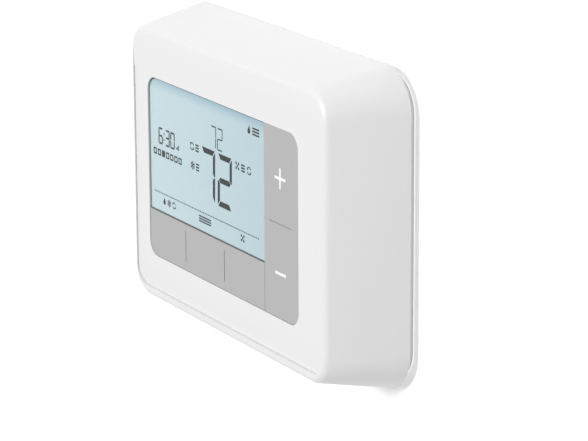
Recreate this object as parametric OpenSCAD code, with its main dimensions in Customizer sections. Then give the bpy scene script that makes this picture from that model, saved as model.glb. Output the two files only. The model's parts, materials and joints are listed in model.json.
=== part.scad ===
// Wall thermostat: a wall plate with wire terminals, and a battery-backed control unit with a
// display and five keys that pulls straight off it.
// +X is to the right, +Z is up and the face looks towards -Y. The origin is the centre of the
// wall plate's back. A depth is a distance from the wall, so depth d lies at y = -d.

/* [Housing] */
// Width of the housing at its back edge
housing_w = 136.1; // [132:0.1:170]
// Height of the housing at its back edge
housing_h = 98; // [96:0.1:130]
// Depth from the wall to the face
overall_d = 27.4; // [27:0.1:36]
// Inward lean of the side walls, in mm for each mm of depth
side_lean = 0.301; // [0.1:0.001:0.32]
// Inward lean of the top and bottom walls, in mm for each mm of depth
end_lean = 0.203; // [0.1:0.001:0.22]
// Corner radius of the outline at the back edge
back_corner_r = 13.7; // [11:0.1:16]
// Corner radius of the outline at the face
front_corner_r = 8.8; // [8:0.1:12]
// Rounding of the edge round the face
edge_r = 2.2; // [1:0.1:2.6]
// Thickness of the side walls
shell_t = 2; // [1.6:0.1:2.2]
// Thickness of the face
face_t = 2.2; // [1.8:0.1:2.4]

/* [Face panel] */
// Depth of the shallow step round the face panel
panel_step = 0.5; // [0.3:0.05:0.7]
// Further dip of the panel at its lower edge
panel_dip = 0.5; // [0:0.05:0.6]
// Plain rim between the panel and the rounded edge at the bottom
panel_bottom_rim = 1.1; // [0.6:0.1:4]
// Corner radius of the panel
panel_r = 5.8; // [4:0.1:8]
// Width of the fine groove round the panel's edge
panel_groove_w = 0.16; // [0.1:0.02:0.3]

/* [Window] */
// Left edge of the window for the display and keys
window_left = -50.4; // [-51:0.1:-48]
// Right edge of the window
window_right = 44.7; // [42:0.1:45.5]
// Lower edge of the window
window_bottom = -29.8; // [-30.5:0.1:-28]
// Upper edge of the window
window_top = 28.65; // [27:0.05:29]
// Corner radius of the window
window_r = 4.8; // [3:0.1:6]
// Line between the display and the right-hand keys
display_right = 24.1; // [20:0.1:26]
// Line between the display and the lower keys
display_bottom = -14.7; // [-17:0.1:-12]

/* [Display] */
// Thickness of the clear lens
lens_t = 0.5; // [0.4:0.1:0.8]
// Thickness of the liquid-crystal cell
cell_t = 1.8; // [1.4:0.1:1.8]
// Thickness of the diffuser and of the reflector
film_t = 0.2; // [0.1:0.05:0.2]
// Thickness of the light guide
guide_t = 1.8; // [1.4:0.1:1.8]
// How far the lens lies below the panel
lens_drop = 0.3; // [0.1:0.05:0.5]

/* [Keys] */
// Line between the left and middle keys
key_split_1 = -26.3; // [-29:0.1:-24]
// Line between the middle and right keys
key_split_2 = -1.1; // [-4:0.1:2]
// Line between the plus and minus keys
key_split_z = -0.55; // [-3:0.05:3]
// How far the keys lie below the panel
key_drop = 0.2; // [0:0.05:0.4]
// Thickness of a key's cap
key_cap_t = 1.8; // [1.4:0.1:1.8]
// Travel of a key
key_travel = 0.5; // [0.3:0.05:0.5]
// Gap between keys and round them
key_gap = 0.15; // [0.1:0.01:0.25]

/* [Board] */
// Thickness of the circuit board
board_t = 1.6; // [1:0.1:1.6]
// Distance from the face to the front of the board
board_drop = 6.2; // [6:0.1:6.6]

/* [Batteries] */
// Diameter of a cell, size AA
battery_d = 14.3; // [13.5:0.1:14.5]
// Length of a cell with its button
battery_len = 50.5; // [49:0.1:51]
// Length of a contact spring at rest in the bay
spring_len = 4; // [3:0.1:6]

/* [Wall plate] */
// Thickness of the wall plate
plate_t = 2.8; // [2.4:0.1:3.2]
// How far the wall plate lies inside the housing's outline
plate_inset = 2.7; // [2.5:0.1:4]
// Width of the hole for the thermostat wires
wire_hole_w = 34; // [24:1:36]
// Height of the hole for the thermostat wires
wire_hole_h = 26; // [20:1:30]
// Distance between the two screw slots
screw_spacing = 100; // [92:1:106]
// Radius of a screw slot, half its width
screw_slot_r = 2.2; // [1.8:0.1:2.5]
// End-to-end length of a screw slot
screw_slot_len = 9; // [6:0.5:11]

/* [Terminals] */
// Terminals in each block
terminal_count = 5; // [3:1:5]
// Distance from one terminal to the next
terminal_pitch = 6.2; // [6:0.1:6.4]
// Width of a terminal block
block_w = 12; // [11.6:0.1:13]
// Depth of a terminal block in front of the wall plate
block_h = 10.6; // [10:0.1:11]

/* [Hidden] */

$fn = 48;
skin = 0.01;        // thickness of the slices that a rounded shell is drawn over
past = 1;           // how far a cut runs past the faces it opens
fit = 0.15;         // clearance between pieces that are put together by hand
seat = 0.02;        // radial clearance of a screw in its thread

// Depths of the layers behind the face, from the front
panel_d = overall_d - panel_step;
face_back = overall_d - face_t;
lens_front = panel_d - lens_drop;
cell_front = lens_front - lens_t;
diffuser_front = cell_front - cell_t;
guide_front = diffuser_front - film_t;
reflector_front = guide_front - guide_t;
frame_floor = reflector_front - film_t;
board_front = overall_d - board_drop;
board_back = board_front - board_t;

// Depths of the rear cover and the battery bay, from the wall
seam = 0.3;
cover_t = 1.8;
cover_back = plate_t + seam;
cover_front = cover_back + cover_t;
battery_back = cover_back + 0.95;
bay_floor_back = battery_back + battery_d + fit;
bay_wall = 0.9;
bay_front = bay_floor_back + bay_wall;

// Half sizes and corner radius of the housing's outline at a depth
function half_w(d) = housing_w / 2 - (d - plate_t) * side_lean;
function half_h(d) = housing_h / 2 - (d - plate_t) * end_lean;
function corner_r(d) = back_corner_r
    + (front_corner_r - back_corner_r) * (d - plate_t) / (overall_d - plate_t);

// Shapes drawn by their ranges in x, in z and in depth
module bar(x, z, d) {
    translate([x[0], -d[1], z[0]]) cube([x[1] - x[0], d[1] - d[0], z[1] - z[0]]);
}
module rod(x, z, r, d) {
    translate([x, -d[0], z]) rotate([90, 0, 0]) cylinder(h = d[1] - d[0], r = r);
}
module cross_rod(x, z, r, d) {
    translate([x[0], -d, z]) rotate([0, 90, 0]) cylinder(h = x[1] - x[0], r = r);
}
module rounded(w, h, r) {
    square([w - 2 * r, h], center = true);
    square([w, h - 2 * r], center = true);
    for (x = [-1, 1], z = [-1, 1]) translate([x * (w / 2 - r), z * (h / 2 - r)]) circle(r);
}
module slab(w, h, r, d, at = [0, 0]) {
    translate([at[0], -d[0], at[1]]) rotate([90, 0, 0]) linear_extrude(d[1] - d[0])
        rounded(w, h, r);
}
module slot(x, z, r, len, d) {
    for (side = [-1, 1]) rod(x + side * (len / 2 - r), z, r, d);
    bar([x - len / 2 + r, x + len / 2 - r], [z - r, z + r], d);
}

// ---- Wall plate -------------------------------------------------------------------------

plate_w = housing_w - 2 * plate_inset;
plate_h = housing_h - 2 * plate_inset;
plate_r = back_corner_r - plate_inset;
wire_z = 15;
head_recess = 1.2;
head_r = 4.4;
tab_w = 9;
tab_t = 1.4;
tab_len = 6;
tab_x = 38;
tab_z = plate_h / 2 - 5;

module wall_plate() {
    color("whitesmoke") difference() {
        union() {
            slab(plate_w, plate_h, plate_r, [0, plate_t]);
            for (x = [-1, 1], z = [-1, 1]) guide_tab(x * tab_x, z * tab_z);
        }
        slab(wire_hole_w, wire_hole_h, 2, [-past, plate_t + past], [0, wire_z]);
        for (side = [-1, 1]) {
            slot(side * screw_spacing / 2, 0, screw_slot_r, screw_slot_len,
                [-past, plate_t + past]);
            slot(side * screw_spacing / 2, 0, head_r, screw_slot_len + 2 * (head_r - screw_slot_r),
                [plate_t - head_recess, plate_t + past]);
        }
        for (side = [-1, 1], z = peg_zs) rod(side * peg_x, z, peg_r + seat, peg_hole);
    }
}

// A spring tab that the unit is pushed onto
module guide_tab(x, z) {
    bar([x - tab_w / 2, x + tab_w / 2], [z - tab_t / 2, z + tab_t / 2],
        [plate_t - past, plate_t + tab_len]);
}

// ---- Terminals --------------------------------------------------------------------------

block_x0 = wire_hole_w / 2 + 2;
block_x1 = block_x0 + block_w;
block_end = 0.8;
block_len = terminal_count * terminal_pitch + 2 * block_end;
block_front = plate_t + block_h;
clamp_x = block_x0 + 4.6;
clamp_w = 5.6;
clamp_h = 4.4;
clamp_d = 6;
clamp_wall = 0.7;
clamp_top = 1.1;
clamp_lift = 0.3;
chamber_d = plate_t + clamp_lift + clamp_d + 0.3;
wire_d = plate_t + 2.4;
wire_r = 1.3;
screw_r = 1.25;
screw_head_r = 1.9;
screw_head_h = 1.6;
driver_r = 2.1;
pin_x = block_x1 - 2.9;
pin_t = 0.8;
pin_gap = 0.1;
pin_foot = [plate_t + 1, plate_t + 1.8];
socket_back = block_front + 0.8;
pin_front = socket_back + 3.4;
peg_r = 1.2;
peg_x = block_x1 - 1.5 - fit;
peg_zs = [wire_z - terminal_pitch, wire_z + terminal_pitch];
peg_hole = [plate_t - 1.7, plate_t + past];

function terminal_z(i) = wire_z + (i - (terminal_count - 1) / 2) * terminal_pitch;

module each_terminal() {
    for (side = [0, 1], i = [0 : terminal_count - 1])
        mirror([side, 0, 0]) translate([0, 0, terminal_z(i)]) children();
}

// One moulded block, drawn for the right-hand side
module terminal_block() {
    clear = 0.1;
    color("dimgray") difference() {
        union() {
            bar([block_x0, block_x1], [wire_z - block_len / 2, wire_z + block_len / 2],
                [plate_t, block_front]);
            for (z = peg_zs) rod(peg_x, z, peg_r, [plate_t - 1.6, plate_t + past]);
        }
        for (i = [0 : terminal_count - 1]) translate([0, 0, terminal_z(i)]) {
            bar([clamp_x - clamp_w / 2 - clear, clamp_x + clamp_w / 2 + clear],
                [-clamp_h / 2 - clear, clamp_h / 2 + clear], [plate_t - past, chamber_d]);
            cross_rod([block_x0 - past, clamp_x], 0, wire_r, wire_d);
            rod(clamp_x, 0, driver_r, [chamber_d - past, block_front + past]);
            bar([clamp_x, pin_x + pin_t / 2 + pin_gap],
                [-pin_t / 2 - pin_gap, pin_t / 2 + pin_gap],
                [pin_foot[0] - pin_gap, pin_foot[1] + pin_gap]);
            bar([pin_x - pin_t / 2 - pin_gap, pin_x + pin_t / 2 + pin_gap],
                [-pin_t / 2 - pin_gap, pin_t / 2 + pin_gap],
                [pin_foot[0] - pin_gap, block_front + past]);
        }
    }
}
module terminal_block_right() { terminal_block(); }
module terminal_block_left() { mirror([1, 0, 0]) terminal_block(); }

// Brass cages that grip the wire ends
module terminal_clamps() {
    back = plate_t + clamp_lift;
    color("goldenrod") each_terminal() difference() {
        bar([clamp_x - clamp_w / 2, clamp_x + clamp_w / 2], [-clamp_h / 2, clamp_h / 2],
            [back, back + clamp_d]);
        bar([clamp_x - clamp_w / 2 - past, clamp_x + clamp_w / 2 - clamp_wall],
            [-clamp_h / 2 + clamp_wall, clamp_h / 2 - clamp_wall],
            [back + clamp_wall, back + clamp_d - clamp_top]);
        rod(clamp_x, 0, screw_r + seat, [back + clamp_wall, back + clamp_d + past]);
    }
}

module terminal_screws() {
    head_back = plate_t + clamp_lift + clamp_d + 0.1;
    head_front = head_back + screw_head_h;
    driver_slot = 0.6;
    color("silver") each_terminal() difference() {
        union() {
            rod(clamp_x, 0, screw_r, [wire_d + 0.6, head_back + screw_head_h / 2]);
            rod(clamp_x, 0, screw_head_r, [head_back, head_front]);
        }
        bar([clamp_x - screw_head_r - past, clamp_x + screw_head_r + past],
            [-driver_slot / 2, driver_slot / 2], [head_front - 0.8, head_front + past]);
    }
}

// L-shaped pins from each clamp to the unit's sockets
module contact_pins() {
    color("gold") each_terminal() {
        bar([clamp_x + clamp_w / 2, pin_x + pin_t / 2], [-pin_t / 2, pin_t / 2], pin_foot);
        bar([pin_x - pin_t / 2, pin_x + pin_t / 2], [-pin_t / 2, pin_t / 2],
            [pin_foot[0], pin_front]);
    }
}

// Staple that joins the two power terminals at the top of the right-hand block
module jumper() {
    jumper_t = 1;
    reach = block_x0 - 1.6;
    lower = terminal_z(terminal_count - 2);
    upper = terminal_z(terminal_count - 1);
    span = [wire_d - jumper_t / 2, wire_d + jumper_t / 2];
    color("goldenrod") {
        for (z = [lower, upper])
            bar([reach, clamp_x + 1], [z - jumper_t / 2, z + jumper_t / 2], span);
        bar([reach, reach + jumper_t], [lower - jumper_t / 2, upper + jumper_t / 2], span);
    }
}

// ---- Front housing ----------------------------------------------------------------------

case_boss_r = 3;
board_boss_r = 2.4;
case_boss = [half_w(face_back) - shell_t - 4.3, half_h(face_back) - shell_t - 4.95];
board_boss_z = 30;
board_boss = [case_boss[0], board_boss_z];
cup_front = cover_front + 1.8;
cup_floor = cover_front - 0.2;
case_screw_r = 1;
case_screw_len = 12;
case_head_r = 2.6;
case_head_h = 1.4;
board_screw_r = 0.8;
board_screw_len = 4.2;
board_head_r = 1.9;
board_head_h = 1.2;
pilot_spare = 0.4;
vent_w = 1.6;
vent_pitch = 4;
vent_count = 9;

// The rounded edge is a stack of slices; step t runs from 0 at the wall to 1 at the face
function edge_turn(lean, t) = atan(lean) + (90 - atan(lean)) * t;
function edge_half(half, lean, t) = half + edge_r * lean
    + edge_r * (cos(edge_turn(lean, t)) - 1 / cos(atan(lean)));
function edge_depth(t) = overall_d - edge_r * (1 - sin(edge_turn(side_lean, t)));

module outer_shape() {
    steps = 6;
    hull() {
        slab(housing_w, housing_h, back_corner_r, [plate_t, plate_t + skin]);
        for (k = [0 : steps]) {
            t = k / steps;
            w = edge_half(half_w(overall_d), side_lean, t);
            h = edge_half(half_h(overall_d), end_lean, t);
            slab(2 * w, 2 * h, front_corner_r - max(0, half_w(overall_d) - w),
                [edge_depth(t) - skin, edge_depth(t)]);
        }
    }
}

module inner_shape() {
    hull() for (d = [plate_t - past, face_back - skin])
        slab(2 * (half_w(d) - shell_t), 2 * (half_h(d) - shell_t), corner_r(d) - shell_t,
            [d, d + skin]);
}

panel_side = edge_half(half_w(overall_d), side_lean, 1);
panel_bottom = -edge_half(half_h(overall_d), end_lean, 1) + panel_bottom_rim;
panel_top = half_h(overall_d) - 6;
panel_fade = 8;
panel_dip_h = 8;
panel_groove_d = 0.15;

// The panel's outline, drawn in by a distance; it runs on past the panel's top
module panel_outline(by, d) {
    slab(2 * (panel_side - by), panel_top - panel_bottom + 2 * (panel_r - by), panel_r - by, d,
        [0, (panel_top + panel_bottom) / 2 + panel_r]);
}

// Space in front of the face panel: level, fading out at the top and dipping at the bottom
module panel_space() {
    profile = concat(
        [[panel_top, overall_d], [panel_top - panel_fade, panel_d]],
        [for (t = [0 : 0.125 : 1])
            [panel_bottom + panel_dip_h * (1 - t), panel_d - panel_dip * t * t]],
        [[panel_bottom - past, panel_d - panel_dip], [panel_bottom - past, overall_d + past],
            [panel_top, overall_d + past]]);
    intersection() {
        panel_outline(0, [panel_d - past, overall_d + past]);
        translate([-panel_side - past, 0, 0]) rotate([90, 0, 90])
            linear_extrude(2 * (panel_side + past)) polygon([for (p = profile) [-p[1], p[0]]]);
    }
}

// Fine groove at the foot of the step, below where the panel fades out
module panel_groove() {
    depths = [panel_d - panel_dip - panel_groove_d, overall_d + past];
    difference() {
        panel_outline(0, depths);
        panel_outline(panel_groove_w, [depths[0] - past, depths[1] + past]);
        bar([-panel_side - past, panel_side + past], [panel_top - panel_fade, housing_h],
            [depths[0] - past, depths[1] + past]);
    }
}

module window_shape(grow, d) {
    slab(window_right - window_left + 2 * grow, window_top - window_bottom + 2 * grow,
        window_r + grow, d,
        [(window_left + window_right) / 2, (window_bottom + window_top) / 2]);
}

module front_housing() {
    color("white") difference() {
        union() {
            difference() {
                outer_shape();
                inner_shape();
            }
            for (x = [-1, 1], z = [-1, 1]) {
                rod(x * case_boss[0], z * case_boss[1], case_boss_r, [cup_front, face_back + skin]);
                rod(x * board_boss[0], z * board_boss[1], board_boss_r,
                    [board_front, face_back + skin]);
            }
        }
        panel_space();
        panel_groove();
        window_shape(0, [face_back - past, overall_d + past]);
        for (x = [-1, 1], z = [-1, 1]) {
            rod(x * case_boss[0], z * case_boss[1], case_screw_r + seat,
                [cup_front - past, cup_floor + case_screw_len + pilot_spare]);
            rod(x * board_boss[0], z * board_boss[1], board_screw_r + seat,
                [board_front - past, board_back + board_screw_len + pilot_spare]);
        }
        for (i = [0 : vent_count - 1]) {
            x = (i - (vent_count - 1) / 2) * vent_pitch;
            bar([x - vent_w / 2, x + vent_w / 2], [-housing_h / 2 - past, -half_h(cover_front) + 6],
                [cover_front + 1.2, cover_front + 8]);
        }
    }
}

// ---- Rear cover, its screws and the battery bay -------------------------------------------

contact_t = 0.4;
button_h = 0.6;
cover_gap = 0.25;
cover_half = [half_w(cover_front) - shell_t - cover_gap, half_h(cover_front) - shell_t - cover_gap];
bay_half = (battery_len + spring_len + button_h) / 2 + contact_t;
battery_r = battery_d / 2;
battery_d0 = battery_back + battery_r;
bay_bottom = -half_h(bay_front) + shell_t + 1 + bay_wall;
lower_z = bay_bottom + battery_r + fit;
upper_z = lower_z + battery_d + 1;
bay_top = upper_z + battery_r + fit;
cup_r = 4;
tab_clear = 0.3;
vent_rows = 4;
vent_len = 16;
vent_x = 44;
vent_z = -30;
screw_window = [screw_slot_len + 2 * head_r, 2 * head_r + 3];

module rear_cover() {
    rib_w = 2;
    rib_x = 14;
    color("gainsboro") difference() {
        union() {
            slab(2 * cover_half[0], 2 * cover_half[1], back_corner_r - shell_t - cover_gap,
                [cover_back, cover_front]);
            bar([-bay_half - bay_wall, bay_half + bay_wall], [bay_bottom - bay_wall, bay_top + bay_wall],
                [cover_back, bay_front]);
            for (x = [-1, 1], z = [-1, 1])
                rod(x * case_boss[0], z * case_boss[1], cup_r, [cover_back, cup_front]);
        }
        difference() {
            bar([-bay_half, bay_half], [bay_bottom, bay_top], [cover_back - past, bay_floor_back]);
            for (x = [-1, 1]) difference() {
                bar([x * rib_x - rib_w / 2, x * rib_x + rib_w / 2], [bay_bottom - past, bay_top + past],
                    [battery_d0 + 2, bay_floor_back + past]);
                for (z = [lower_z, upper_z])
                    cross_rod([-bay_half, bay_half], z, battery_r + fit, battery_d0);
            }
        }
        for (i = [0 : 2]) contact_tab(contact_tabs[i][0], contact_tabs[i][1], fit,
            [bay_floor_back - past, bay_front + past]);
        bar([-block_x1 - past, block_x1 + past],
            [wire_z - block_len / 2 - past, wire_z + block_len / 2 + past],
            [cover_back - past, cover_front + past]);
        for (side = [-1, 1]) slab(screw_window[0], screw_window[1], screw_window[1] / 2 - skin,
            [cover_back - past, cover_front + past], [side * screw_spacing / 2, 0]);
        for (x = [-1, 1], z = [-1, 1]) {
            bar([x * tab_x - tab_w / 2 - tab_clear, x * tab_x + tab_w / 2 + tab_clear],
                [z * tab_z - tab_t / 2 - tab_clear, z * tab_z + tab_t / 2 + tab_clear],
                [cover_back - past, cover_front + past]);
            rod(x * case_boss[0], z * case_boss[1], case_head_r + fit, [cover_back - past, cup_floor]);
            rod(x * case_boss[0], z * case_boss[1], case_screw_r + fit,
                [cover_back - past, cup_front + past]);
        }
        for (side = [-1, 1], i = [0 : vent_rows - 1]) {
            z = vent_z + i * vent_pitch;
            bar([side * vent_x - vent_len / 2, side * vent_x + vent_len / 2],
                [z - vent_w / 2, z + vent_w / 2], [cover_back - past, cover_front + past]);
        }
    }
}
module case_screws() {
    color("silver") for (x = [-1, 1], z = [-1, 1])
        headed_screw(x * case_boss[0], z * case_boss[1], case_screw_r, case_screw_len, case_head_r,
            case_head_h, cup_floor);
}

// A cross-slot screw driven away from the wall, with the underside of its head at depth d
module headed_screw(x, z, r, len, head_r, head_h, d) {
    cut = 0.3;
    difference() {
        union() {
            rod(x, z, r, [d - head_h / 2, d + len]);
            rod(x, z, head_r, [d - head_h, d]);
        }
        for (turn = [0, 90]) translate([x, 0, z]) rotate([0, turn, 0])
            bar([-head_r * 0.6, head_r * 0.6], [-cut, cut], [d - head_h - past, d - head_h / 2]);
    }
}

// ---- Batteries and their contacts ---------------------------------------------------------

button_r = 2.7;
button_len = 1;
plus_z = [upper_z, lower_z];
contact_w = 11;
tab_width = 3;
// End (side and height) of each contact's solder tab
contact_tabs = [[-1, (upper_z + lower_z) / 2], [1, upper_z], [1, lower_z]];

// One cell with its plus end towards side (-1 left, 1 right)
module battery(side, z) {
    end = side * (bay_half - contact_t - button_h);
    shoulder = end - side * button_len;
    tail = end - side * battery_len;
    cross_rod([min(shoulder, tail), max(shoulder, tail)], z, battery_r, battery_d0);
    cross_rod([min(end, shoulder - side), max(end, shoulder - side)], z, button_r, battery_d0);
}
module battery_upper() { color("slategray") battery(-1, upper_z); }
module battery_lower() { color("slategray") battery(1, lower_z); }

module contact_plate(side, z, h) {
    x = side * bay_half;
    bar([min(x, x - side * contact_t), max(x, x - side * contact_t)], [z - h / 2, z + h / 2],
        [battery_d0 - contact_w / 2, battery_d0 + contact_w / 2]);
}
module contact_tab(side, z, clear, d) {
    x = side * bay_half;
    bar([min(x, x - side * contact_t) - clear, max(x, x - side * contact_t) + clear],
        [z - tab_width / 2 - clear, z + tab_width / 2 + clear], d);
}
module contact_leg(i) {
    contact_tab(contact_tabs[i][0], contact_tabs[i][1], 0,
        [battery_d0 + contact_w / 2 - skin, board_front + 0.4]);
}
module contact_button(side, z) {
    x = side * (bay_half - contact_t);
    cross_rod([min(x - side * button_h, x + side * skin), max(x - side * button_h, x + side * skin)],
        z, button_r, battery_d0);
}

// Cone-shaped coil, wide at the plate and narrow at the battery
coil_turns = 3;
coil_ring = 14;
coil_sides = 6;
coil_wire_r = 0.4;
coil_r = [4.6, 2.6];
module contact_coil(side, z) {
    steps = coil_turns * coil_ring;
    rise = spring_len - 2 * coil_wire_r;
    points = [for (k = [0 : steps], s = [0 : coil_sides - 1])
        let (t = k / steps, a = 360 * k / coil_ring, b = 360 * s / coil_sides,
            r = coil_r[0] + (coil_r[1] - coil_r[0]) * t + coil_wire_r * cos(b))
        [r * cos(a), r * sin(a), coil_wire_r + rise * t + coil_wire_r * sin(b)]];
    skin_faces = [for (k = [0 : steps - 1], s = [0 : coil_sides - 1])
        let (n = (s + 1) % coil_sides, a = k * coil_sides, b = a + coil_sides)
        [a + n, b + n, b + s, a + s]];
    ends = [[for (s = [coil_sides - 1 : -1 : 0]) s],
        [for (s = [0 : coil_sides - 1]) steps * coil_sides + s]];
    translate([side * (bay_half - contact_t), -battery_d0, z]) rotate([0, -side * 90, 0])
        polyhedron(points, concat(skin_faces, ends), convexity = 8);
}

module bridge_contact() {
    span = upper_z - lower_z + contact_w;
    color("lightgray") {
        contact_plate(-1, (upper_z + lower_z) / 2, span);
        contact_button(-1, upper_z);
        contact_leg(0);
        contact_coil(-1, lower_z);
    }
}
module spring_contact() {
    color("lightgray") {
        contact_plate(1, upper_z, contact_w);
        contact_leg(1);
        contact_coil(1, upper_z);
    }
}
module button_contact() {
    color("lightgray") {
        contact_plate(1, lower_z, contact_w);
        contact_leg(2);
        contact_button(1, lower_z);
    }
}

// ---- Circuit board and what is soldered to it ---------------------------------------------

board_half = [half_w(board_front) - shell_t - 3, case_boss[1] - case_boss_r - 0.7];

module main_board() {
    color("darkgreen") difference() {
        slab(2 * board_half[0], 2 * board_half[1], 2, [board_back, board_front]);
        for (x = [-1, 1], z = [-1, 1])
            rod(x * board_boss[0], z * board_boss[1], board_screw_r + fit,
                [board_back - past, board_front + past]);
        for (i = [0 : 2]) contact_tab(contact_tabs[i][0], contact_tabs[i][1], fit,
            [board_back - past, board_front + past]);
    }
}

module board_screws() {
    color("silver") for (x = [-1, 1], z = [-1, 1])
        headed_screw(x * board_boss[0], z * board_boss[1], board_screw_r, board_screw_len,
            board_head_r, board_head_h, board_back);
}

relay_size = [12, 20, 9];
relay_x = -board_half[0] + 3;
relay_z = -12;
relay_pitch = relay_size[0] + 2;
module relays() {
    color("royalblue") for (i = [0 : 2])
        bar([relay_x, relay_x + relay_size[1]],
            [relay_z + i * relay_pitch, relay_z + i * relay_pitch + relay_size[0]],
            [board_back - relay_size[2], board_back]);
}

// A square chip with leads on all four sides, centred behind the wire hole
module controller_chip() {
    chip = 10;
    chip_t = 1.2;
    leads = 9;
    lead_pitch = 1;
    lead = [0.6, 0.2];
    lead_at = chip / 2 + lead[0];
    d = [board_back - 0.3, board_back];
    color("black") translate([0, 0, wire_z]) {
        bar([-chip / 2, chip / 2], [-chip / 2, chip / 2], [board_back - chip_t, board_back]);
        for (side = [-1, 1], i = [0 : leads - 1]) {
            along = (i - (leads - 1) / 2) * lead_pitch;
            across = side * lead_at;
            bar([across - lead[0], across + lead[0]], [along - lead[1], along + lead[1]], d);
            bar([along - lead[1], along + lead[1]], [across - lead[0], across + lead[0]], d);
        }
    }
}

// A small can on a wider foot
module clock_crystal() {
    at = [-11, wire_z + 9];
    can = [1, 6];
    foot = [1.3, 0.5];
    color("silver") for (step = [can, foot])
        rod(at[0], at[1], step[0], [board_back - step[1], board_back]);
}

module reserve_capacitor() {
    at = [board_half[0] - 10, 24];
    can = [5, 11];
    vent = [4, 0.2, 0.2];
    end = board_back - can[1];
    color("navy") difference() {
        rod(at[0], at[1], can[0], [end, board_back]);
        bar([at[0] - vent[0], at[0] + vent[0]], [at[1] - vent[1], at[1] + vent[1]],
            [end - past, end + vent[2]]);
    }
}

// Dipped disc on two leads, held clear of the board over the vents
module temperature_sensor() {
    x = bay_half + 8;
    top = -board_half[1] + 2;
    bottom = top - 6;
    d = board_back - 2;
    lead = 0.2;
    bead_r = 1.6;
    bead_t = 1.6;
    color("darkorange") {
        for (side = [-1, 1]) {
            bar([x + side - lead, x + side + lead], [bottom, top + lead], [d - lead, d + lead]);
            bar([x + side - lead, x + side + lead], [top - lead, top + lead], [d - lead, board_back]);
        }
        rod(x, bottom, bead_r, [d - bead_t / 2, d + bead_t / 2]);
    }
}

// Receptacles for the contact pins
module socket() {
    hole = pin_t + 2 * fit;
    color("black") difference() {
        bar([pin_x - 2.1, pin_x + 2.1], [wire_z - block_len / 2, wire_z + block_len / 2],
            [socket_back, board_back]);
        for (i = [0 : terminal_count - 1])
            bar([pin_x - hole / 2, pin_x + hole / 2], [terminal_z(i) - hole / 2, terminal_z(i) + hole / 2],
                [socket_back - past, pin_front + 0.4]);
    }
}
module socket_right() { socket(); }
module socket_left() { mirror([1, 0, 0]) socket(); }

// ---- Display ------------------------------------------------------------------------------

lens_gap = 0.2;
lens_x = [window_left + lens_gap, display_right - lens_gap];
lens_z = [display_bottom + lens_gap, window_top - lens_gap];
cell_inset = 0.3;
frame_wall = 1.5;
frame_front = min(diffuser_front, panel_d - key_drop - key_cap_t - key_travel - 0.3);
strip_h = 2;

function inset(range, by) = [range[0] + by, range[1] - by];

module display_lens() {
    color("azure", 0.4) intersection() {
        window_shape(-lens_gap, [cell_front, lens_front]);
        bar(lens_x, lens_z, [cell_front, lens_front]);
    }
}

module display_cell() {
    color("lightblue") intersection() {
        window_shape(-lens_gap - cell_inset, [diffuser_front, cell_front]);
        bar(inset(lens_x, cell_inset), inset(lens_z, cell_inset), [diffuser_front, cell_front]);
    }
}

led_x = [lens_x[0] + 1, lens_x[0] + 3];
guide_x = [led_x[1] + fit, lens_x[1] - 1];
guide_z = [lens_z[0] + strip_h + 1.2, lens_z[1] - 1];
led_zs = [-4, 8, 20];
led_h = 3;

module diffuser_film() {
    color("ivory") bar(guide_x, guide_z, [guide_front, diffuser_front]);
}
module light_guide() {
    color("aliceblue") bar(guide_x, guide_z, [reflector_front, guide_front]);
}
module reflector_film() {
    color("white") bar(guide_x, guide_z, [frame_floor, reflector_front]);
}

// Tray on the board that carries the guide and the cell
module display_frame() {
    outer_x = inset(lens_x, -frame_wall);
    outer_z = inset(lens_z, -frame_wall);
    color("white") difference() {
        bar(outer_x, outer_z, [board_front, frame_front]);
        bar(inset(lens_x, 0.8), inset(lens_z, 0.8), [frame_floor, frame_front + past]);
        bar([strip_x[0] - fit, strip_x[1] + fit], [strip_z[0] - fit, strip_z[1] + fit],
            [board_front - past, frame_front + past]);
        for (z = led_zs) bar([led_x[0] - fit, led_x[1] + fit], [z - led_h / 2 - fit, z + led_h / 2 + fit],
            [board_front - past, frame_front + past]);
        for (z = [-1, 1]) rod(-board_boss[0], z * board_boss[1], board_boss_r + 2 * fit,
            [board_front - past, frame_front + past]);
    }
}

strip_x = inset(lens_x, 4);
strip_z = [lens_z[0] + 1, lens_z[0] + 1 + strip_h];
module elastomer_strip() {
    color("dimgray") bar(strip_x, strip_z, [board_front, diffuser_front]);
}

module backlight_leds() {
    color("lightyellow") for (z = led_zs)
        bar(led_x, [z - led_h / 2, z + led_h / 2], [board_front, guide_front - 0.4]);
}

// ---- Keys and switches --------------------------------------------------------------------

key_front = panel_d - key_drop;
cap_back = key_front - key_cap_t;
flange_t = 0.8;
flange_back = cap_back - flange_t;
flange_lip = 0.9;
flange_w = 2.6;
groove_w = 0.35;
groove_d = 0.3;
switch_h = 1.8;
switch_w = 6;
stem_r = 1.5;
stem_rise = 0.6;
stem_len = 1;
stem_front = board_front + switch_h + stem_rise;

row_z = [window_bottom, display_bottom];
column_x = [display_right, window_right];
row_mid = (row_z[0] + row_z[1]) / 2;
column_mid = (column_x[0] + column_x[1]) / 2;
// Centre of the switch behind each key
left_at = [(window_left + key_split_1) / 2, row_mid];
middle_at = [(key_split_1 + key_split_2) / 2, row_mid];
right_at = [(key_split_2 + display_right) / 2, row_mid];
plus_at = [column_mid, 13.4];
minus_at = [column_mid, -15.8];
switch_at = [left_at, middle_at, right_at, plus_at, minus_at];

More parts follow.
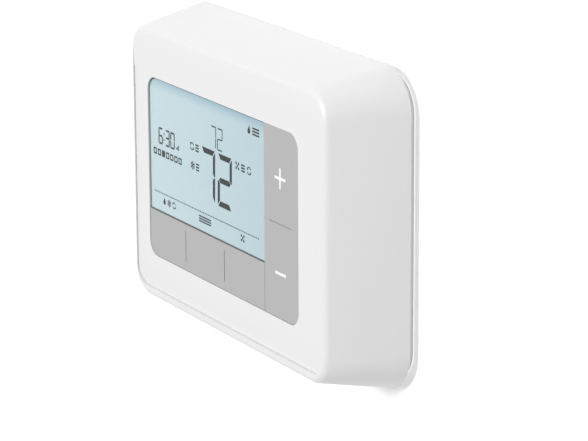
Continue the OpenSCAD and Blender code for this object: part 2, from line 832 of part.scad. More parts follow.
// A key fills its part of the window; a lip behind the face keeps it in. The cuts are its share
// of the short grooves between neighbours.
module key(x, z, at, cuts) {
    g = key_gap / 2;
    color("darkgray") difference() {
        union() {
            intersection() {
                window_shape(-key_gap, [cap_back, key_front]);
                bar(inset(x, g), inset(z, g), [cap_back, key_front]);
            }
            intersection() {
                difference() {
                    window_shape(flange_lip, [flange_back, cap_back]);
                    window_shape(-flange_w, [flange_back - past, cap_back + past]);
                }
                bar(lip_range(x, column_x), lip_range(z, row_z), [flange_back, cap_back]);
            }
            rod(at[0], at[1], stem_r + 0.6, [stem_front, cap_back + skin]);
        }
        for (c = cuts) bar(c[0], c[1], [key_front - groove_d, key_front + past]);
    }
}
// The lip's range: let out under the face, and kept off the neighbours and the display's frame
frame_clear = frame_wall + 0.3;
function lip_range(range, strip) = [
    range[0] == strip[0] && strip == column_x ? range[0] + frame_clear
        : range[0] == window_left || range[0] == window_bottom ? range[0] - flange_lip
        : range[0] + key_gap / 2,
    range[1] == strip[1] && strip == row_z ? range[1] - frame_clear
        : range[1] == window_right || range[1] == window_top ? range[1] + flange_lip
        : range[1] - key_gap / 2];

groove_z = [row_z[0] + 2.9, row_z[1] - 2.4];
groove_x = [column_x[0] + 3.5, column_x[1] - 4.5];
function split_cut(x) = [[x - groove_w / 2, x + groove_w / 2], groove_z];
level_cut = [groove_x, [key_split_z - groove_w / 2, key_split_z + groove_w / 2]];

module key_left() { key([window_left, key_split_1], row_z, left_at, [split_cut(key_split_1)]); }
module key_middle() {
    key([key_split_1, key_split_2], row_z, middle_at,
        [split_cut(key_split_1), split_cut(key_split_2)]);
}
module key_right() { key([key_split_2, display_right], row_z, right_at, [split_cut(key_split_2)]); }
module key_plus() { key(column_x, [key_split_z, window_top], plus_at, [level_cut]); }
module key_minus() { key(column_x, [window_bottom, key_split_z], minus_at, [level_cut]); }

module stem(at) {
    color("dimgray") rod(at[0], at[1], stem_r, [stem_front - stem_len, stem_front]);
}
module stem_left() { stem(left_at); }
module stem_middle() { stem(middle_at); }
module stem_right() { stem(right_at); }
module stem_plus() { stem(plus_at); }
module stem_minus() { stem(minus_at); }

module switch_bodies() {
    well = stem_len - stem_rise + key_travel + 0.1;
    color("silver") for (at = switch_at) difference() {
        bar([at[0] - switch_w / 2, at[0] + switch_w / 2], [at[1] - switch_w / 2, at[1] + switch_w / 2],
            [board_front, board_front + switch_h]);
        rod(at[0], at[1], stem_r + fit, [board_front + switch_h - well, board_front + switch_h + past]);
    }
}

wall_plate();
terminal_block_left();
terminal_block_right();
terminal_clamps();
terminal_screws();
contact_pins();
jumper();
front_housing();
rear_cover();
case_screws();
main_board();
board_screws();
display_lens();
display_cell();
diffuser_film();
light_guide();
reflector_film();
display_frame();
elastomer_strip();
backlight_leds();
switch_bodies();
relays();
controller_chip();
clock_crystal();
reserve_capacitor();
temperature_sensor();
socket_left();
socket_right();
battery_upper();
battery_lower();
bridge_contact();
spring_contact();
button_contact();
key_left();
key_middle();
key_right();
key_plus();
key_minus();
stem_left();
stem_middle();
stem_right();
stem_plus();
stem_minus();
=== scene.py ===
import json
from math import atan2, cos, pi, radians, sin

import bmesh
import bpy
from mathutils import Matrix, Vector

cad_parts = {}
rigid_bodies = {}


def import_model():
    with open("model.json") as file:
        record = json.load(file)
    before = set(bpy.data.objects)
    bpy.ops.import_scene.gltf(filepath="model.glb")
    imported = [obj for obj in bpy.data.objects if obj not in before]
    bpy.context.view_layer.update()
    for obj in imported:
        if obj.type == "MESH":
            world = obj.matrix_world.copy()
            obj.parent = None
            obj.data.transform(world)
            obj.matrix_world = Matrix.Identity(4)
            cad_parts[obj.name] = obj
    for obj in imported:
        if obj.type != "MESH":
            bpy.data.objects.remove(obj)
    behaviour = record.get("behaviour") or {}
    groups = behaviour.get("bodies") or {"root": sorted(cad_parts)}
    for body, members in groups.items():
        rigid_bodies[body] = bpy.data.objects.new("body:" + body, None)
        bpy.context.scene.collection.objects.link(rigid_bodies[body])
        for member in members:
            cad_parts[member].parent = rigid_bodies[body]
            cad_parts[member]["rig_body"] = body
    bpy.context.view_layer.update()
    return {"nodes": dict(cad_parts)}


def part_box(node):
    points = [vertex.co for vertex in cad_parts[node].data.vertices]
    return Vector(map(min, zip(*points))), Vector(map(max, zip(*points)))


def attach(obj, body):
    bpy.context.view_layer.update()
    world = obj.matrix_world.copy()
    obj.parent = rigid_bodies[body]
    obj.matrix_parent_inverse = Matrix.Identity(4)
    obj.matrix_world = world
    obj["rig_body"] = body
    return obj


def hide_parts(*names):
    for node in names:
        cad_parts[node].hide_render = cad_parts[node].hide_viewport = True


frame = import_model()

# ---- Wall plate -------------------------------------------------------------------------
# The flat moulding that stays on the wall: white ABS with a fine spark-eroded grain, held by
# two screws in its slots. The unit's spring tabs and the terminal blocks stand on it.

MM = 0.001
TOUCH = 1e-6             # corners nearer than this in metres are one, or lie in one plane
FLAT = radians(0.5)      # faces that meet at less than this are one face
CRISP = radians(32)      # edges at least this sharp aren't smoothed over
ROUNDED = radians(35)    # edges at least this sharp get a bevel
DRIFT_SIZE = 30 * MM
DRIFT_GLOSS = 0.08
GRAIN_GLOSS = 0.06


class Value:
    """A shader value that can be used in ordinary sums."""

    def __init__(self, finish, socket):
        self.finish = finish
        self.socket = socket

    def sum(self, operation, other, swapped=False):
        first, second = (other, self) if swapped else (self, other)
        return self.finish.node("ShaderNodeMath", {"operation": operation}, {0: first, 1: second})

    def __add__(self, other):
        return self.sum("ADD", other)

    def __radd__(self, other):
        return self.sum("ADD", other)

    def __sub__(self, other):
        return self.sum("SUBTRACT", other)

    def __rsub__(self, other):
        return self.sum("SUBTRACT", other, swapped=True)

    def __mul__(self, other):
        return self.sum("MULTIPLY", other)

    def __rmul__(self, other):
        return self.sum("MULTIPLY", other)

    def __gt__(self, other):
        return self.sum("GREATER_THAN", other)

    def __lt__(self, other):
        return self.sum("LESS_THAN", other)


class Finish:
    """A procedural material; constants go straight onto the shader's own sockets."""

    def __init__(self, name, **constants):
        self.material = bpy.data.materials.new(name)
        self.material.use_nodes = True
        self.tree = self.material.node_tree
        self.shader = self.tree.nodes["Principled BSDF"]
        for socket, value in constants.items():
            self.shader.inputs[socket.replace("_", " ")].default_value = value

    def node(self, kind, settings=None, inputs=None, output=0):
        made = self.tree.nodes.new(kind)
        for key, value in (settings or {}).items():
            setattr(made, key, value)
        for key, value in (inputs or {}).items():
            self.feed(made.inputs[key], value)
        return Value(self, made.outputs[output])

    def feed(self, socket, value):
        if isinstance(value, Value):
            self.tree.links.new(value.socket, socket)
        else:
            socket.default_value = value

    def set(self, name, value):
        self.feed(self.shader.inputs[name], value)

    def place(self):
        """Where a point is on the piece, in metres."""
        return self.node("ShaderNodeTexCoord", output="Object")

    def axis(self, name):
        return self.node("ShaderNodeSeparateXYZ", {}, {0: self.place()}, output=name)

    def noise(self, size, detail=2.0):
        """Cloudy variation from 0 to 1 with blobs of about this size in metres."""
        return self.node("ShaderNodeTexNoise", {},
                         {"Vector": self.place(), "Scale": 1 / size, "Detail": detail})

    def span(self, value, low, high, to_low=0.0, to_high=1.0):
        return self.node("ShaderNodeMapRange", {"clamp": True},
                         {0: value, 1: low, 2: high, 3: to_low, 4: to_high})

    def mix(self, factor, first, second):
        return self.node("ShaderNodeMix", {"data_type": "RGBA"},
                         {0: factor, 6: first, 7: second}, output=2)

    def bump(self, height, depth):
        """Relief of this depth in metres where height runs from 0 to 1."""
        self.set("Normal", self.node("ShaderNodeBump", {}, {"Height": height, "Distance": depth}))


def grey(level):
    """An even grey from its level on the 0 to 255 scale of a display."""
    return tint(level, level, level)


def tint(*levels):
    """A colour from its red, green and blue levels on the same scale."""
    return tuple(((v / 255 + 0.055) / 1.055) ** 2.4 for v in levels) + (1.0,)


def shade(colour, by):
    """The colour made lighter or darker by a factor."""
    return tuple(min(1.0, c * by) for c in colour[:3]) + (1.0,)


def moulded(name, colour, roughness, grain=0.35 * MM, relief=0.006 * MM, drift=0.03, **constants):
    """Moulded plastic: a fine even grain, and a slow drift in tone and gloss."""
    finish = Finish(name, **constants)
    slow = finish.noise(DRIFT_SIZE)
    fine = finish.noise(grain)
    finish.set("Base Color", finish.mix(slow, shade(colour, 1 - drift), shade(colour, 1 + drift)))
    finish.set("Roughness", roughness + (slow - 0.5) * DRIFT_GLOSS + (fine - 0.5) * GRAIN_GLOSS)
    finish.bump(fine, relief)
    return finish.material


def keep(piece, node, material):
    """Finishes a piece that stands for a CAD node and moves with it."""
    piece.data.materials.clear()
    piece.data.materials.append(material)
    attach(piece, frame["nodes"][node]["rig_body"])
    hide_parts(node)
    return piece


def whole_faces(node):
    """A copy of the node's mesh, with its loose triangles joined into whole faces."""
    bm = bmesh.new()
    bm.from_mesh(frame["nodes"][node].data)
    bmesh.ops.remove_doubles(bm, verts=bm.verts, dist=TOUCH)
    bmesh.ops.dissolve_limit(bm, angle_limit=FLAT, verts=bm.verts, edges=bm.edges)
    return bm


def recast(node, material, edge=0.0, reshape=None, segments=2):
    """The node's own shape in its finish, with its sharp edges rounded over."""
    bm = whole_faces(node)
    if reshape:
        reshape(bm)
    piece = make(node + "_finished", bm)
    if edge:
        bevel = piece.modifiers.new("edges", "BEVEL")
        bevel.width = edge
        bevel.segments = segments
        bevel.limit_method = "ANGLE"
        bevel.angle_limit = ROUNDED
        bevel.harden_normals = True
    return keep(piece, node, material)


def make(name, bm):
    """Turns a bmesh into a smooth-shaded object whose crisp edges stay crisp."""
    bm.normal_update()
    for face in bm.faces:
        face.smooth = True
    for edge in bm.edges:
        edge.smooth = edge.is_manifold and edge.calc_face_angle() < CRISP
    mesh = bpy.data.meshes.new(name)
    bm.to_mesh(mesh)
    bm.free()
    piece = bpy.data.objects.new(name, mesh)
    bpy.context.scene.collection.objects.link(piece)
    return piece


white_plastic = moulded("white_plastic", grey(241), 0.42, drift=0.006)
recast("wall_plate", white_plastic, edge=0.25 * MM)

# ---- Wire terminals ---------------------------------------------------------------------
# Two dark nylon blocks pegged into the wall plate. Each terminal is a bent brass cage with a
# plated steel screw; a brass pin carries it forward to the unit, and a staple joins two.

dark_plastic = moulded("dark_nylon", grey(62), 0.5, drift=0.1)
for node in ("terminal_block_left", "terminal_block_right"):
    recast(node, dark_plastic, edge=0.2 * MM)


STAIN_SIZE = 4 * MM
STAIN_GLOSS = 0.15
DRAWN_OUT = (1.0, 30.0, 1.0)
LINE_SCALE = 400.0
LINE_DEPTH = 0.003 * MM


def metal(name, colour, roughness, brushed=0.0):
    """Bare or plated metal, with faint stains and, if brushed, fine drawn lines."""
    finish = Finish(name, Metallic=1.0)
    stain = finish.noise(STAIN_SIZE, 3.0)
    stretched = finish.node("ShaderNodeMapping", {}, {0: finish.place(), 3: DRAWN_OUT})
    lines = finish.node("ShaderNodeTexNoise", {},
                        {"Vector": stretched, "Scale": LINE_SCALE, "Detail": 2.0})
    finish.set("Base Color", finish.mix(stain, shade(colour, 0.86), shade(colour, 1.06)))
    finish.set("Roughness", roughness + (stain - 0.5) * STAIN_GLOSS + (lines - 0.5) * brushed)
    finish.bump(lines, LINE_DEPTH)
    return finish.material


brass = metal("brass", tint(214, 178, 104), 0.3, 0.15)
plated_steel = metal("zinc_plate", grey(205), 0.32, 0.1)
recast("terminal_clamps", brass, edge=0.12 * MM)
recast("terminal_screws", plated_steel, edge=0.12 * MM)
recast("contact_pins", metal("gold_flash", tint(230, 190, 110), 0.22), edge=0.1 * MM)
recast("jumper", brass, edge=0.15 * MM)

# ---- Front housing ----------------------------------------------------------------------
# The one white moulding that shows: leaning walls, a rounded edge round the face, and a panel
# stepped down inside it that dips towards its lower edge. Moulded ABS, screwed from behind.

housing_white = moulded("housing_white", grey(236), 0.36, drift=0.006)
recast("front_housing", housing_white, edge=0.05 * MM)

# ---- Rear cover and its screws ----------------------------------------------------------
# The back of the unit, with the battery bay moulded into it. Four screws go through its cups
# into the housing's bosses.

recast("rear_cover", moulded("cover_white", grey(226), 0.5, drift=0.01), edge=0.2 * MM)
recast("case_screws", plated_steel, edge=0.12 * MM)

# ---- Circuit board ----------------------------------------------------------------------
# Green glass-epoxy board held by four screws; the solder resist shows the copper tracks under
# it as a lighter pattern.

TRACK_SCALE = 220.0
TRACK_W = 0.06
TRACK_RISE = 0.03 * MM
WEAVE_SIZE = 1.2 * MM
board = Finish("solder_resist", Roughness=0.35)
cells = board.node("ShaderNodeTexVoronoi", {"distance": "MANHATTAN", "feature": "DISTANCE_TO_EDGE"},
                   {"Vector": board.place(), "Scale": TRACK_SCALE})
tracks = cells < TRACK_W
weave = board.noise(WEAVE_SIZE)
bare = board.mix(weave, tint(16, 84, 48), tint(22, 98, 56))
board.set("Base Color", board.mix(tracks, bare, tint(44, 128, 74)))
board.bump(tracks, TRACK_RISE)
recast("main_board", board.material, edge=0.1 * MM)
recast("board_screws", plated_steel, edge=0.1 * MM)

# ---- Parts soldered to the board --------------------------------------------------------
# Relays in blue cases, the controller in black epoxy with tinned leads, a metal-can crystal, a
# sleeved capacitor, the dipped sensor, the pin sockets and the five key switches.

black_plastic = moulded("black_epoxy", grey(38), 0.45, drift=0.1)
relay_blue = moulded("relay_blue", tint(44, 86, 160), 0.35, drift=0.06)
recast("relays", relay_blue, edge=0.4 * MM, segments=3)
recast("controller_chip", black_plastic, edge=0.08 * MM)
recast("clock_crystal", plated_steel, edge=0.1 * MM)
shrink_sleeve = moulded("shrink_sleeve", tint(34, 44, 92), 0.3, drift=0.08)
recast("reserve_capacitor", shrink_sleeve, edge=0.4 * MM)
dipped_epoxy = moulded("dipped_epoxy", tint(176, 96, 40), 0.3, drift=0.12)
recast("temperature_sensor", dipped_epoxy, edge=0.15 * MM)
for node in ("socket_left", "socket_right"):
    recast(node, black_plastic, edge=0.15 * MM)
recast("switch_bodies", plated_steel, edge=0.12 * MM)

# ---- Batteries and contacts -------------------------------------------------------------
# Two AA cells in plain printed sleeves, between nickel-plated contacts whose legs reach the
# board through slots in the bay's floor.


BAND_LEN = 14 * MM
BARE_LEN = 1.6 * MM


def cell_sleeve(name, plus_side):
    """A dark sleeve with a copper band at the plus end, and bare metal past it."""
    finish = Finish(name, Coat_Weight=0.4, Coat_Roughness=0.15)
    low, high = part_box(name)
    end = high.x if plus_side > 0 else low.x
    depth = (end - finish.axis("X")) * plus_side
    scuff = finish.noise(6 * MM, 4.0)
    sleeve = finish.mix(scuff, tint(38, 46, 58), tint(46, 56, 70))
    band = finish.mix(scuff, tint(196, 120, 62), tint(206, 132, 72))
    coloured = finish.mix(depth > BAND_LEN, band, sleeve)
    bare_end = depth < BARE_LEN
    finish.set("Base Color", finish.mix(bare_end, coloured, grey(205)))
    finish.set("Metallic", bare_end)
    finish.set("Roughness", 0.32 + (scuff - 0.5) * 0.2)
    return finish.material


recast("battery_upper", cell_sleeve("battery_upper", -1), edge=0.5 * MM, segments=4)
recast("battery_lower", cell_sleeve("battery_lower", 1), edge=0.5 * MM, segments=4)
nickel = metal("nickel_plate", grey(214), 0.2, 0.05)
for node in ("bridge_contact", "spring_contact", "button_contact"):
    recast(node, nickel)

# ---- Display ----------------------------------------------------------------------------
# A white frame on the board carries a backlight of films and an acrylic guide, then the
# liquid-crystal cell with its dark figures, and a clear lens that lies just below the panel.

recast("display_frame", white_plastic, edge=0.15 * MM)
film = moulded("matte_film", tint(240, 240, 232), 0.6, drift=0.01)
for node in ("diffuser_film", "reflector_film"):
    recast(node, film)
guide_acrylic = moulded("guide_acrylic", tint(228, 238, 244), 0.15, drift=0.01)
recast("light_guide", guide_acrylic, edge=0.1 * MM)
led_resin = moulded("led_resin", tint(244, 236, 176), 0.25, drift=0.04)
recast("backlight_leds", led_resin, edge=0.15 * MM)

RIB_SCALE = 600.0
elastomer = Finish("striped_elastomer")
ribs = elastomer.node("ShaderNodeTexWave", {"bands_direction": "X"},
                      {"Vector": elastomer.place(), "Scale": RIB_SCALE})
elastomer.set("Base Color", elastomer.mix(ribs, grey(48), grey(120)))
elastomer.set("Roughness", 0.7 + (elastomer.noise(2 * MM) - 0.5) * 0.1)
recast("elastomer_strip", elastomer.material, edge=0.2 * MM)

CELL_RAISE = 0.2 * MM
CELL_DROP = 0.3 * MM
# The painted shadow band under the cell's top edge: how far down it fades out, and how near the
# edge it is at full strength
SHADOW_BAND_DEPTH = 3.4 * MM
SHADOW_BAND_FULL = 0.3 * MM
MOTTLE_SIZE = 14 * MM
cell_low, cell_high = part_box("display_cell")


def raise_front(bm):
    """Brings the cell's face nearer the lens, as acrylic makes it look, and down to the keys."""
    for vert in bm.verts:
        if vert.co.z < cell_low.z + TOUCH:
            vert.co.z -= CELL_DROP
        if vert.co.y < cell_low.y + TOUCH:
            vert.co.y -= CELL_RAISE


glass = Finish("display_glass", Roughness=0.3)
across = glass.span(glass.axis("X"), cell_low.x, cell_high.x)
mottle = glass.noise(MOTTLE_SIZE)
near = glass.mix(mottle, tint(195, 217, 223), tint(198, 220, 225))
far = glass.mix(mottle, tint(182, 206, 213), tint(185, 209, 216))
# Painted shadow: a blue-grey band, darker towards the right, fades down from the cell's top edge
# and stands in for the shade that the window's upper edge casts on the cell
level = glass.span(glass.axis("Z"), cell_high.z - SHADOW_BAND_DEPTH, cell_high.z - SHADOW_BAND_FULL)
painted_shadow_blue = glass.mix(level * across, tint(160, 190, 204), tint(146, 178, 196))
glass.set("Base Color", glass.mix(level * 0.9, glass.mix(across, near, far), painted_shadow_blue))
glass.bump(glass.noise(0.3 * MM), 0.001 * MM)
recast("display_cell", glass.material, reshape=raise_front)

FIGURE_T = 0.03 * MM
FIGURE_LEAN = 0.03
figures = bmesh.new()


def at(u, v):
    """A point on the cell's raised face, u and v mm from its lower left corner."""
    return Vector((cell_low.x + u * MM, cell_low.y - CELL_RAISE, cell_low.z + v * MM))


def figure(outline):
    """Adds one flat dark shape, given its corners in mm on the cell, anticlockwise."""
    corners = [figures.verts.new(at(u, v)) for u, v in outline]
    face = figures.faces.new(corners)
    raised = bmesh.ops.extrude_face_region(figures, geom=[face])["geom"]
    moved = [g for g in raised if isinstance(g, bmesh.types.BMVert)]
    bmesh.ops.translate(figures, verts=moved, vec=(0, -FIGURE_T, 0))


def box_figure(u, v, w, h):
    """A plain rectangle w by h from its lower left corner."""
    figure([(u, v), (u + w, v), (u + w, v + h), (u, v + h)])


def stroke(u0, v0, u1, v1, t):
    """A straight bar of thickness t with pointed ends."""
    angle = atan2(v1 - v0, u1 - u0)
    along = (cos(angle) * t / 2, sin(angle) * t / 2)
    side = (-along[1], along[0])
    figure([(u0, v0), (u0 + along[0] - side[0], v0 + along[1] - side[1]),
            (u1 - along[0] - side[0], v1 - along[1] - side[1]), (u1, v1),
            (u1 - along[0] + side[0], v1 - along[1] + side[1]),
            (u0 + along[0] + side[0], v0 + along[1] + side[1])])


# The lit segments of each number: top, upper left, upper right, middle, lower left, lower
# right and bottom, as 0 to 6
LIT = {"0": (0, 1, 2, 4, 5, 6), "2": (0, 2, 3, 4, 6), "3": (0, 2, 3, 5, 6), "6": (0, 1, 3, 4, 5, 6),
       "7": (0, 2, 5)}


def digit(number, u, v, w, h, t, flat_t=0.0):
    """A leaning seven-segment digit w by h, its upright bars t thick and its level ones flat_t."""
    f = flat_t or t
    g = t * 0.16
    half = h / 2
    upright = [(0, half + g), (t / 2, half + g), (t, half + f / 2 + g), (t, h - f - g),
               (0, h - 2 * g)]
    flat = [(2 * g, h), (w - 2 * g, h), (w - t - g, h - f), (t + g, h - f)]
    bar = [(t * 0.6, half), (t + g, half - f / 2), (w - t - g, half - f / 2), (w - t * 0.6, half),
           (w - t - g, half + f / 2), (t + g, half + f / 2)]
    flip = [(w - x, y) for x, y in upright]
    shapes = [flat, upright, flip, bar, [(x, h - y) for x, y in upright],
              [(x, h - y) for x, y in flip], [(x, h - y) for x, y in flat]]
    for k in LIT[number]:
        figure([(u + x + FIGURE_LEAN * (y - half), v + y) for x, y in shapes[k]])


# The large number, the small one above it, and the clock, in mm
LARGE = {"v": 10.3, "w": 8.9, "h": 16.7, "t": 1.4, "flat_t": 1.75}
SMALL = {"v": 27.8, "w": 3.3, "h": 7.1, "t": 0.42}
CLOCK = {"v": 21.8, "w": 2.9, "h": 5.4, "t": 0.6}
COLON = 0.55
for size, row in ((LARGE, (("7", 33.9), ("2", 44.5))), (SMALL, (("7", 40.4), ("2", 44.5))),
                  (CLOCK, (("6", 5.5), ("3", 10.1), ("0", 13.5)))):
    for number, u in row:
        digit(number, u, **size)
for v in (23.3, 25.3):
    box_figure(9.0, v, COLON, COLON)


def ring_points(u, v, r, count, start=0.0, turn=2 * pi):
    """Points spaced evenly along a circle of radius r about (u, v)."""
    return [(u + r * cos(start + turn * k / count), v + r * sin(start + turn * k / count))
            for k in range(count)]


def disc(u, v, r):
    figure(ring_points(u, v, r, 16))


def arc(u, v, r, t, start, turn, count=12):
    """A curved band of thickness t, in short straight lengths."""
    for k in range(count):
        a, b = start + turn * k / count, start + turn * (k + 1) / count
        figure([(u + (r - t / 2) * cos(a), v + (r - t / 2) * sin(a)),
                (u + (r + t / 2) * cos(a), v + (r + t / 2) * sin(a)),
                (u + (r + t / 2) * cos(b), v + (r + t / 2) * sin(b)),
                (u + (r - t / 2) * cos(b), v + (r - t / 2) * sin(b))])


def fan_sign(u, v, r):
    """Four blades round a hub."""
    for k in range(4):
        a = pi / 4 + k * pi / 2
        figure([(u + r * s * cos(a + off), v + r * s * sin(a + off))
                for s, off in ((0.2, 0.0), (0.75, -0.42), (1.0, -0.12), (0.95, 0.28), (0.55, 0.3))])
    disc(u, v, r * 0.2)


def frost_sign(u, v, r):
    """Three crossed bars with short side ticks."""
    for k in range(6):
        a = k * pi / 3 + pi / 6
        tip = (u + r * cos(a), v + r * sin(a))
        fork = (u + r * 0.55 * cos(a), v + r * 0.55 * sin(a))
        stroke(u, v, *tip, r * 0.2)
        for side in (-1, 1):
            b = a + side * 0.9
            stroke(*fork, fork[0] + r * 0.4 * cos(b), fork[1] + r * 0.4 * sin(b), r * 0.16)


def flame_sign(u, v, r):
    """A leaning drop."""
    figure([(u + r * x, v + r * y) for x, y in (
        (0.0, -1.0), (0.45, -0.88), (0.66, -0.5), (0.6, -0.05), (0.35, 0.35), (0.3, 0.75),
        (0.1, 1.1), (-0.05, 0.7), (-0.35, 0.3), (-0.62, -0.15), (-0.62, -0.6), (-0.4, -0.9))])


def cycle_sign(u, v, r):
    """Two curved arrows that chase each other."""
    for start in (0.35, 0.35 + pi):
        arc(u, v, r * 0.8, r * 0.26, start, 2.1, 8)
        a = start + 2.1
        figure([(u + r * reach * cos(a + ahead), v + r * reach * sin(a + ahead))
                for reach, ahead in ((0.45, 0.0), (1.2, 0.0), (0.85, 0.6))])


def bars_sign(u, v, w, h):
    """Three level bars, for a list."""
    for k in range(3):
        box_figure(u, v + k * h * 0.38, w, h * 0.22)


# Three rising bars beside the clock, then a box for each day of the week with one filled in
DAY_PITCH = 2.8
DAY_BOX = 2.1
DAY_LINE = 0.5
DAY_LOW = 17.9
for k in range(3):
    box_figure(17.3 + k * 0.75, 22.2, 0.45, 0.6 + k * 0.5)
for day in range(7):
    u = 2.0 + day * DAY_PITCH
    if day == 2:
        box_figure(u, DAY_LOW, DAY_BOX, DAY_BOX)
    else:
        for shift in (0.0, DAY_BOX - DAY_LINE):
            box_figure(u, DAY_LOW + shift, DAY_BOX, DAY_LINE)
        for shift in (0.0, DAY_BOX - DAY_LINE):
            box_figure(u + shift, DAY_LOW + DAY_LINE, DAY_LINE, DAY_BOX - 2 * DAY_LINE)

# Signs left and right of the large number, and in the upper right corner
cycle_sign(28.0, 25.6, 1.4)
bars_sign(30.2, 24.4, 2.2, 2.4)
frost_sign(28.3, 19.5, 1.45)
bars_sign(30.5, 18.3, 1.9, 2.4)
fan_sign(57.0, 25.6, 1.55)
bars_sign(59.4, 24.4, 2.2, 2.4)
cycle_sign(64.3, 25.6, 1.4)
flame_sign(64.4, 38.4, 1.3)
bars_sign(66.5, 37.2, 4.2, 2.4)

# The dotted line, and a sign over each key under it
DOTS = 65
DOT_PITCH = 1.05
for k in range(DOTS):
    box_figure(2.2 + k * DOT_PITCH, 5.6, 0.55, 0.4)
flame_sign(8.8, 3.5, 1.15)
frost_sign(12.0, 3.5, 1.3)
cycle_sign(15.3, 3.5, 1.2)
bars_sign(32.0, 2.5, 7.8, 2.1)
fan_sign(59.9, 3.6, 1.5)

bmesh.ops.recalc_face_normals(figures, faces=figures.faces)
INK_PATCH = 3 * MM
ink = Finish("display_ink", Roughness=0.35, Specular_IOR_Level=0.2)
ink.set("Base Color", ink.mix(ink.noise(INK_PATCH), grey(4), grey(9)))
figure_piece = make("display_figures", figures)
figure_piece.data.materials.append(ink.material)
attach(figure_piece, "unit")

LENS_BACK = 0.3 * MM
BORDER_W = 0.16 * MM
BORDER_T = 0.03 * MM
BORDER_PROUD = 0.07 * MM


def lift_back(bm):
    """Leaves room under the lens for the printed border and the figures."""
    back = max(v.co.y for v in bm.verts)
    for vert in bm.verts:
        if vert.co.y > back - TOUCH:
            vert.co.y -= LENS_BACK


lens = Finish("clear_acrylic", Roughness=0.08, Alpha=0.02, Specular_IOR_Level=0.2)
lens.set("Base Color", lens.mix(lens.noise(20 * MM), tint(236, 246, 250), tint(240, 250, 252)))
recast("display_lens", lens.material, reshape=lift_back)

# A dark ring along the rim of the lens's front face, set just over the cell: a printed border that
# also paints the shade line in the gap round the window
border = whole_faces("display_lens")
lens_front = min(v.co.y for v in border.verts)
others = [f for f in border.faces if f.calc_center_median().y > lens_front + TOUCH]
bmesh.ops.delete(border, geom=others, context="FACES")
bmesh.ops.inset_individual(border, faces=border.faces[:], thickness=BORDER_W, use_even_offset=True)
middle = max(border.faces, key=lambda face: face.calc_area())
bmesh.ops.delete(border, geom=[middle], context="FACES")
onto_cell = cell_low.y - CELL_RAISE - lens_front - BORDER_PROUD
bmesh.ops.translate(border, verts=border.verts, vec=(0, onto_cell, 0))
border_piece = make("display_border", border)
thickness = border_piece.modifiers.new("thickness", "SOLIDIFY")
thickness.thickness = BORDER_T
# Painted shade: the ring's dark ink stands in for the shadow in the gap round the lens, as well as
# for a printed border
gap_shade_ink = Finish("gap_shade_ink", Roughness=0.4)
patches = gap_shade_ink.noise(INK_PATCH)
gap_shade_ink.set("Base Color", gap_shade_ink.mix(patches, tint(46, 58, 64), tint(58, 70, 76)))
border_piece.data.materials.append(gap_shade_ink.material)
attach(border_piece, "unit")

# ---- Keys -------------------------------------------------------------------------------
# Five satin grey caps that fill the rest of the window, each on its own switch stem. The plus
# and minus are raised white bars, moulded as a second shot.

KEY_GAP = 0.15 * MM
SEAM_HALF = 0.012 * MM
KEY_EDGE = 0.03 * MM
key_grey = moulded("key_grey", grey(178), 0.42, drift=0.008)
ROW_REACH = 10 * MM
row_splits = [(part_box(a)[1].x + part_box(b)[0].x) / 2
              for a, b in (("key_left", "key_middle"), ("key_middle", "key_right"))]
column_split = (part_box("key_minus")[1].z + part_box("key_plus")[0].z) / 2


def close_seams(bm):
    """Brings neighbouring keys almost together, so that only the short grooves part them."""
    for vert in bm.verts:
        for axis, split in ((0, row_splits[0]), (0, row_splits[1]), (2, column_split)):
            away = vert.co[axis] - split
            in_row = vert.co.x < row_splits[1] + ROW_REACH
            if abs(away) < KEY_GAP * 0.6 and (axis == 0) == in_row:
                vert.co[axis] = split + (SEAM_HALF if away > 0 else -SEAM_HALF)


for key in ("left", "middle", "right", "plus", "minus"):
    recast("key_" + key, key_grey, edge=KEY_EDGE, reshape=close_seams)
    recast("stem_" + key, dark_plastic, edge=0.1 * MM)

MARK_LEN = 6.4 * MM
MARK_W = 0.9 * MM
MARK_RISE = 0.15 * MM
MARK_LEFT = 0.95 * MM
MARK_DEPTH = 2 * MARK_RISE
MARK_EDGE = 0.1 * MM
PLUS_Z = 13.4 * MM
MINUS_Z = -15.8 * MM
mark_white = moulded("mark_white", grey(250), 0.35, drift=0.004)


def raised_mark(key, z, quarter_turns):
    """An outline of equal arms, one for each quarter turn, that stands proud of its key."""
    low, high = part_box("key_" + key)
    centre = Vector(((low.x + high.x) / 2 - MARK_LEFT, low.y + MARK_RISE, z))
    half, arm = MARK_W / 2, MARK_LEN / 2
    corners = []
    for k in range(4):
        long_arm = k in quarter_turns
        reach = arm if long_arm else half
        along = Vector((cos(k * pi / 2), 0, sin(k * pi / 2)))
        across = Vector((-sin(k * pi / 2), 0, cos(k * pi / 2)))
        if long_arm:
            corners += [along * reach - across * half, along * reach + across * half]
        if long_arm == ((k + 1) % 4 in quarter_turns):
            corners.append(along * half + across * half)
    bm = bmesh.new()
    face = bm.faces.new([bm.verts.new(centre + c) for c in corners])
    raised = bmesh.ops.extrude_face_region(bm, geom=[face])["geom"]
    moved = [g for g in raised if isinstance(g, bmesh.types.BMVert)]
    bmesh.ops.translate(bm, verts=moved, vec=(0, -MARK_DEPTH, 0))
    bmesh.ops.recalc_face_normals(bm, faces=bm.faces)
    mark = make("mark_" + key, bm)
    mark.data.materials.append(mark_white)
    rounding = mark.modifiers.new("edges", "BEVEL")
    rounding.width = MARK_EDGE
    rounding.segments = 2
    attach(mark, "key_" + key + "_body")


raised_mark("plus", PLUS_Z, (0, 1, 2, 3))
raised_mark("minus", MINUS_Z, (0, 2))

# ---- Wall, light and camera -------------------------------------------------------------
# A white wall that shows from the front only, so that the plate's back can be seen and lit, a
# soft light from above and in front, a second one behind, and an even white surround.

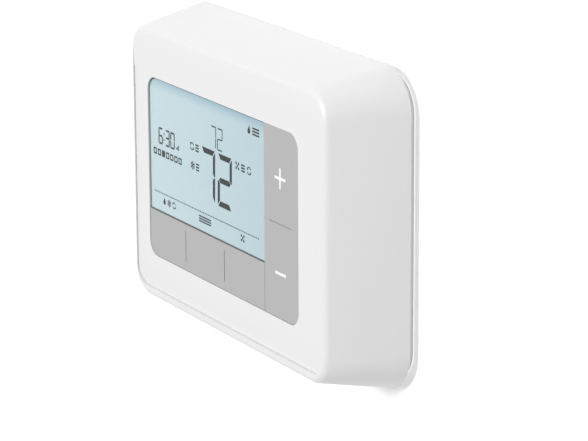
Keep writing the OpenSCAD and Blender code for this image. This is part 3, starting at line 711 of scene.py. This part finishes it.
WALL_HALF = 3.0
WALL_BACK = 0.2 * MM
WALL_LIFT = 0.28
NEAR_WALL = 1.0 * MM
wall = bmesh.new()
bmesh.ops.create_grid(wall, x_segments=1, y_segments=1, size=WALL_HALF)
bmesh.ops.rotate(wall, verts=wall.verts, matrix=Matrix.Rotation(radians(90), 3, "X"))
bmesh.ops.translate(wall, verts=wall.verts, vec=(0, WALL_BACK, 0))
wall_piece = make("wall", wall)
wall_finish = Finish("wall_paint", Roughness=0.9)
wall_finish.set("Base Color", grey(255))
wall_finish.shader.inputs["Specular IOR Level"].default_value = 0.0
wall_finish.shader.inputs["Emission Strength"].default_value = 1.0
seen = wall_finish.node("ShaderNodeLightPath", output="Is Camera Ray")
mirrored = wall_finish.node("ShaderNodeLightPath", output="Is Glossy Ray")
through = wall_finish.node("ShaderNodeLightPath", output="Is Transmission Ray")
lit = seen.sum("MAXIMUM", mirrored.sum("MAXIMUM", through))
lift = (WALL_LIFT, WALL_LIFT, WALL_LIFT, 1)
wall_finish.set("Emission Color", wall_finish.mix(lit, (0, 0, 0, 1), lift))
clear = wall_finish.node("ShaderNodeBsdfTransparent")
painted = Value(wall_finish, wall_finish.shader.outputs[0])
behind = wall_finish.node("ShaderNodeNewGeometry", output="Backfacing")
close = wall_finish.node("ShaderNodeLightPath", output="Ray Length") < NEAR_WALL
open_to_back = behind.sum("MAXIMUM", close * (1 - seen))
surface = wall_finish.node("ShaderNodeMixShader", {}, {0: open_to_back, 1: painted, 2: clear})
wall_output = wall_finish.tree.nodes["Material Output"]
wall_finish.feed(wall_output.inputs["Surface"], surface)
wall_piece.data.materials.append(wall_finish.material)

scene = bpy.context.scene
world = bpy.data.worlds.new("surround")
scene.world = world
world.use_nodes = True
SOFT_LEVEL = 0.42
tree = world.node_tree
ray = tree.nodes.new("ShaderNodeLightPath")
direct = ray.outputs["Is Camera Ray"]
for kind in ("Is Glossy Ray", "Is Transmission Ray"):
    either = tree.nodes.new("ShaderNodeMath")
    either.operation = "MAXIMUM"
    tree.links.new(direct, either.inputs[0])
    tree.links.new(ray.outputs[kind], either.inputs[1])
    direct = either.outputs[0]
level_of = tree.nodes.new("ShaderNodeMapRange")
level_of.inputs["To Min"].default_value = SOFT_LEVEL
tree.links.new(direct, level_of.inputs["Value"])
tree.links.new(level_of.outputs[0], tree.nodes["Background"].inputs["Strength"])
tree.nodes["Background"].inputs["Color"].default_value = (1, 1, 1, 1)


def lamp(name, place, size, power):
    """A square soft box that faces the object."""
    light = bpy.data.lights.new(name, "AREA")
    light.shape = "SQUARE"
    light.size = size
    light.energy = power
    holder = bpy.data.objects.new(name, light)
    holder.location = place
    holder.rotation_euler = (-Vector(place)).to_track_quat("-Z", "Y").to_euler()
    scene.collection.objects.link(holder)


lamp("soft_box", place=(0.18, -1.88, 0.66), size=0.45, power=24.8)
lamp("back_light", place=(0.0, 2.0, 0.0), size=0.6, power=22.0)

# The camera stands off to the right and a little above, and is moved aside from the centre
YAW = radians(60.13)
DOWN = radians(15.385)
ROLL = radians(-0.317)
DISTANCE = 0.9086
ASIDE = 2.226 * MM
BELOW = 10.673 * MM
FOCAL_LENGTH = 180.225
camera_data = bpy.data.cameras.new("camera")
camera_data.sensor_width = 36.0
camera_data.lens = FOCAL_LENGTH
camera_data.clip_end = 20.0
camera = bpy.data.objects.new("camera", camera_data)
turn = (Matrix.Rotation(YAW, 3, "Z") @ Matrix.Rotation(pi / 2 - DOWN, 3, "X")
        @ Matrix.Rotation(ROLL, 3, "Z"))
forward = turn @ Vector((0, 0, -1))
right = turn @ Vector((1, 0, 0))
up = turn @ Vector((0, 1, 0))
camera.matrix_world = turn.to_4x4()
camera.location = -DISTANCE * forward - ASIDE * right - BELOW * up
scene.collection.objects.link(camera)
scene.camera = camera
scene.view_settings.view_transform = "Standard"
